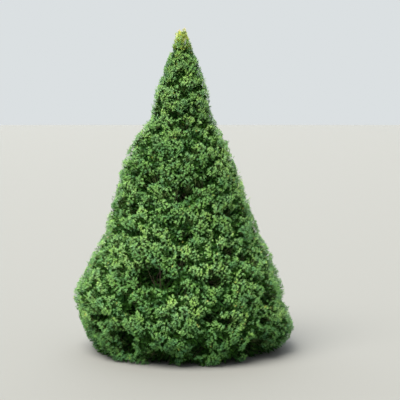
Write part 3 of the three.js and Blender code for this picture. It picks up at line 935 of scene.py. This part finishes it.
def makeSprayTree():
    tree, given = newTree("spray of needles", {
        "Needles": "Int", "Length": "Float", "Width": "Float", "Low": "Float", "High": "Float",
        "Low Lean": "Float", "High Lean": "Float", "Seed": "Int", "Finish": "Material"})
    plus, times = {"operation": "ADD"}, {"operation": "MULTIPLY"}
    blade = addNode(tree, "GeometryNodeMeshGrid", None, {
        "Size X": 1.0, "Size Y": 1.0, "Vertices X": 2, "Vertices Y": 2})
    corner = addNode(tree, "ShaderNodeVectorMath", plus, {
        0: addNode(tree, "GeometryNodeInputPosition"), 1: (0.5, 0.5, 0.0)})
    corner = addNode(tree, "ShaderNodeSeparateXYZ", None, {"Vector": corner})
    u, v = corner.outputs["X"], corner.outputs["Y"]  # both are 0 at the foot and 1 at the point
    side = addNode(tree, "ShaderNodeMath", {"operation": "SUBTRACT"}, {0: u, 1: v})
    halfWidth = addNode(tree, "ShaderNodeMath", times, {0: given["Width"], 1: 0.5})
    across = addNode(tree, "ShaderNodeMath", times, {0: side, 1: halfWidth})
    either = addNode(tree, "ShaderNodeMath", plus, {0: u, 1: v})
    both = addNode(tree, "ShaderNodeMath", times, {0: u, 1: v})
    beyond = addNode(tree, "ShaderNodeMath", times, {0: both, 1: 1 - 2 * sprayRule["widestAt"]})
    along = addNode(tree, "ShaderNodeMath", {"operation": "MULTIPLY_ADD"}, {
        0: either, 1: sprayRule["widestAt"], 2: beyond})
    along = addNode(tree, "ShaderNodeMath", times, {0: along, 1: given["Length"]})
    outline = addNode(tree, "ShaderNodeCombineXYZ", None, {"Y": across, "Z": along})
    needle = addNode(tree, "GeometryNodeSetPosition", None, {"Geometry": blade, "Position": outline})
    # one needle for each point of the line, and one line for each shoot
    index = addNode(tree, "GeometryNodeInputIndex")
    step = addNode(tree, "ShaderNodeMath", plus, {0: index, 1: 0.5})
    share = addNode(tree, "ShaderNodeMath", {"operation": "DIVIDE"}, {0: step, 1: given["Needles"]})
    line = addNode(tree, "GeometryNodeMeshLine", None, {"Count": given["Needles"], "Offset": (0, 0, 0)})
    span = addNode(tree, "ShaderNodeMapRange", None, {
        "Value": share, "To Min": given["Low"], "To Max": given["High"]})
    height = addNode(tree, "ShaderNodeMath", times, {0: span, 1: sprayRule["reach"]})
    foot = addNode(tree, "ShaderNodeCombineXYZ", None, {"Z": height})
    stem = addNode(tree, "GeometryNodeSetPosition", None, {"Geometry": line, "Position": foot})
    lean = addNode(tree, "ShaderNodeMapRange", None, {
        "Value": share, "To Min": given["Low Lean"], "To Max": given["High Lean"]})
    stray = addNode(tree, "FunctionNodeRandomValue", {"data_type": "FLOAT"}, {
        "Min": -sprayRule["leanScatter"], "Max": sprayRule["leanScatter"], "Seed": given["Seed"]})
    tilt = addNode(tree, "ShaderNodeMath", plus, {0: lean, 1: stray})
    tilt = addNode(tree, "ShaderNodeMath", {"operation": "RADIANS"}, {0: tilt})
    turn = addNode(tree, "ShaderNodeMath", times, {0: index, 1: goldenTurn})
    facing = addNode(tree, "ShaderNodeCombineXYZ", None, {"Y": tilt, "Z": turn})
    otherSeed = addNode(tree, "ShaderNodeMath", plus, {0: given["Seed"], 1: sprayRule["otherSeed"]})
    stretch = addNode(tree, "FunctionNodeRandomValue", {"data_type": "FLOAT"}, {
        "Min": sprayRule["shortest"], "Max": sprayRule["longest"], "Seed": otherSeed})
    needles = addNode(tree, "GeometryNodeInstanceOnPoints", None, {
        "Points": stem, "Instance": needle, "Rotation": facing, "Scale": stretch})
    whole = addNode(tree, "GeometryNodeRealizeInstances", None, {"Geometry": needles})
    endTree(tree, given, placeOnPoints(tree, given, whole), smooth=False)
    return tree


def outerPlace(shoot):
    size = max(shoot["tuft"]["size"], sprayRule["leastScale"])
    size += sprayRule["topGain"] * clamp(1 - (treeHeight - shoot["end"].z) / topRule["reach"], 0, 1)
    size *= 1 + sprayRule["scatter"] * centred(shoot["seed"], 62)
    foot = shoot["end"] - shoot["way"] * sprayRule["reach"] * size
    foot.z = max(foot.z, shootRule["groundGap"])
    return foot, shoot["way"], (size, size, size), shoot["seed"]


def innerPlaces():
    places = []
    for shoot in innerShoots:
        size = shoot["spray"] / sprayRule["reach"]
        foot = shoot["end"] - shoot["way"] * shoot["spray"]
        places.append((foot, shoot["way"], (size, size, size), shoot["seed"]))
    return places


# Tints are dealt out by spray: darkest inside, lightest where a shoot stands proud. This is mostly painted
# light: the dark tints are painted shade and the lightest are painted highlight, mixed with random tone and
# the lighter new growth at the shoot tips.
needleTints = {  # colour, sheen
    "shade": ("#264619", 0.05),
    "deep": ("#558148", 0.15),
    "leaf": ("#669552", 0.25),
    "fresh": ("#74a05c", 0.32),
    "young": ("#8bb468", 0.38),
    "straw": ("#acac58", 0.30),
    "budding": ("#abb548", 0.35),
}
tintSteps = [("deep", 0.26), ("leaf", 0.62), ("fresh", 1.02), ("young", 9.0)]
# proud, depth, rise, bigRise, foot and footReach paint light and shade: shoots that stand proud or sit on a
# tuft's top get lighter, those deep in, on a tuft's underside or near the ground darker
tintRule = {
    "proud": 0.45, "depth": 0.075, "height": 0.22, "tuft": 0.22, "shoot": 0.08, "tips": 0.25,
    "rise": 0.10, "fineReach": 0.040, "bigRise": 0.26, "bigReach": 0.090, "patch": 0.40,
    "patchSpread": 0.28, "foot": 1.30, "footReach": 0.28, "topReach": 0.16, "strawOdds": 0.010,
}
mostSprays = {"body": 19000, "tip": 12000, "inner": 8000}  # keeps each piece under 200,000 triangles


def riseIn(tuft, point, reach):  # from -1 on a tuft's underside to 1 on its top
    return clamp((point.z - tuft["tip"].z) / (reach * tuft["size"]), -1, 1)


def tintOf(shoot, lighter):
    if lighter and scatter(shoot["seed"], 71) < tintRule["strawOdds"]:
        return "straw"
    if scatter(shoot["seed"], 74) > (treeHeight - shoot["end"].z) / tintRule["topReach"]:
        return "budding"
    # The score is mostly painted light: lighter where a shoot stands proud and on a tuft's top, painted
    # shade deep in, on a tuft's underside and near the ground. It also rises with height, and the tuft,
    # shoot and patch terms are random tone.
    score = (tintRule["proud"] * clamp(1 - shoot["depth"] / tintRule["depth"], 0, 1)
             + tintRule["height"] * shoot["end"].z / treeHeight
             + tintRule["tuft"] * scatter(shoot["tuft"]["seed"], 72)
             + tintRule["shoot"] * scatter(shoot["seed"], 73) + lighter
             + tintRule["rise"] * riseIn(shoot["tuft"], shoot["end"], tintRule["fineReach"])
             + tintRule["bigRise"] * riseIn(shoot["tuft"]["owner"], shoot["end"], tintRule["bigReach"])
             + tintRule["patch"] * noise.noise(shoot["end"] / tintRule["patchSpread"])
             - tintRule["foot"] * clamp(1 - shoot["end"].z / tintRule["footReach"], 0, 1))
    return next(tint for tint, limit in tintSteps if score < limit)


def makeNeedles():
    tree = makeSprayTree()
    dealt = {}
    # tip sprays take a lighter tint: partly the light new growth, partly painted highlight on the tips
    for kind, lighter in (("body", 0.0), ("tip", tintRule["tips"])):
        for shoot in shoots:
            dealt.setdefault((kind, tintOf(shoot, lighter)), []).append(outerPlace(shoot))
    # the inner sprays all take the dark tint of painted shade
    dealt["inner", "shade"] = innerPlaces()
    finishes = {tint: makeNeedleFinish(f"{tint} spruce needles", code, sheen)
                for tint, (code, sheen) in needleTints.items()}
    pieces = []
    for order, ((kind, tint), places) in enumerate(sorted(dealt.items())):
        parts = math.ceil(len(places) / mostSprays[kind])
        for part in range(parts):
            name = f"needles_{kind}_{tint}" + (f"_{part + 1}" if parts > 1 else "")
            seed = sprayRule["seedStep"] * order + part
            values = {**sprays[kind], "Seed": seed, "Finish": finishes[tint]}
            pieces.append(grow(name, pointsMesh(name, places[part::parts]), tree, values))
            print(name, len(pieces[-1].data.polygons), "needles")
    return pieces


needles = makeNeedles()
print("needles made")


# Buds at the very top: small ovals of papery pale brown scales
budLook = {
    "count": 9, "width": 0.0055, "length": 0.012, "scatter": 0.2, "segments": 12, "rings": 8,
    "roughness": 0.75, "colour": "#c9b78e",
}


def makeBuds():
    tree, given = newTree("buds", {"Finish": "Material"})
    ball = addNode(tree, "GeometryNodeMeshUVSphere", None, {
        "Segments": budLook["segments"], "Rings": budLook["rings"], "Radius": 0.5})
    oval = addNode(tree, "GeometryNodeTransform", None, {
        "Geometry": ball, "Scale": (budLook["width"], budLook["width"], budLook["length"])})
    endTree(tree, given, placeOnPoints(tree, given, oval))
    finish, shader = newFinish("papery bud scales")
    closeFinish(shader, {
        "Base Color": hexToLinear(budLook["colour"]), "Roughness": budLook["roughness"]})
    topmost = sorted(shoots, key=lambda shoot: -shoot["end"].z)[:budLook["count"]]
    places = []
    for shoot in topmost:
        size = 1 + budLook["scatter"] * centred(shoot["seed"], 96)
        places.append((shoot["end"], shoot["way"], (size, size, size), shoot["seed"]))
    return grow("buds", pointsMesh("buds", places), tree, {"Finish": finish})


buds = makeBuds()
print("buds made:", len(buds.data.polygons), "faces")

# The bark stands for the trunk and boughs, and all else for the foliage
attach(bark, "root")
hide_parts(*barkNodes)
for piece in twigPieces + needles + [buds]:
    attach(piece, "root")
    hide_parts(*foliageNodes)


# A wide pale floor, and soft daylight from the upper left and from behind
stageLook = {"floor": "#767673", "roughness": 0.9, "radius": 160.0, "sides": 96}
lightLook = {
    "sky": 0.96, "skyColour": "#dfe4e6",
    "key": 7.8, "keySpread": 45, "keyFrom": (-0.45, -0.50, 1.25), "keyColour": (1.0, 0.97, 0.9),
    "fill": 2.0, "fillSpread": 70, "fillFrom": (-0.15, 0.95, 0.75), "fillColour": (0.9, 0.95, 1.0),
}


def makeStage():
    rim = [(math.cos(turn) * stageLook["radius"], math.sin(turn) * stageLook["radius"], 0)
           for turn in (2 * math.pi * k / stageLook["sides"] for k in range(stageLook["sides"]))]
    mesh = bpy.data.meshes.new("floor")
    mesh.from_pydata(rim, [], [tuple(range(len(rim)))])
    floor = addObject("floor", mesh)
    finish, tree = newFinish("pale floor")
    closeFinish(tree, {
        "Base Color": hexToLinear(stageLook["floor"]), "Roughness": stageLook["roughness"]})
    mesh.materials.append(finish)


def addSun(name):
    lamp = bpy.data.lights.new(name, "SUN")
    lamp.energy = lightLook[name]
    lamp.angle = math.radians(lightLook[name + "Spread"])
    lamp.color = lightLook[name + "Colour"]
    shining = -Vector(lightLook[name + "From"])
    addObject(name, lamp).rotation_euler = shining.to_track_quat("-Z", "Y").to_euler()


def lightStage():
    world = bpy.data.worlds.new("sky")
    world.use_nodes = True
    sky = world.node_tree.nodes["Background"].inputs
    sky["Color"].default_value = hexToLinear(lightLook["skyColour"])
    sky["Strength"].default_value = lightLook["sky"]
    bpy.context.scene.world = world
    addSun("key")
    addSun("fill")


makeStage()
lightStage()
bpy.context.scene.view_settings.view_transform = "Standard"
print("stage lit")
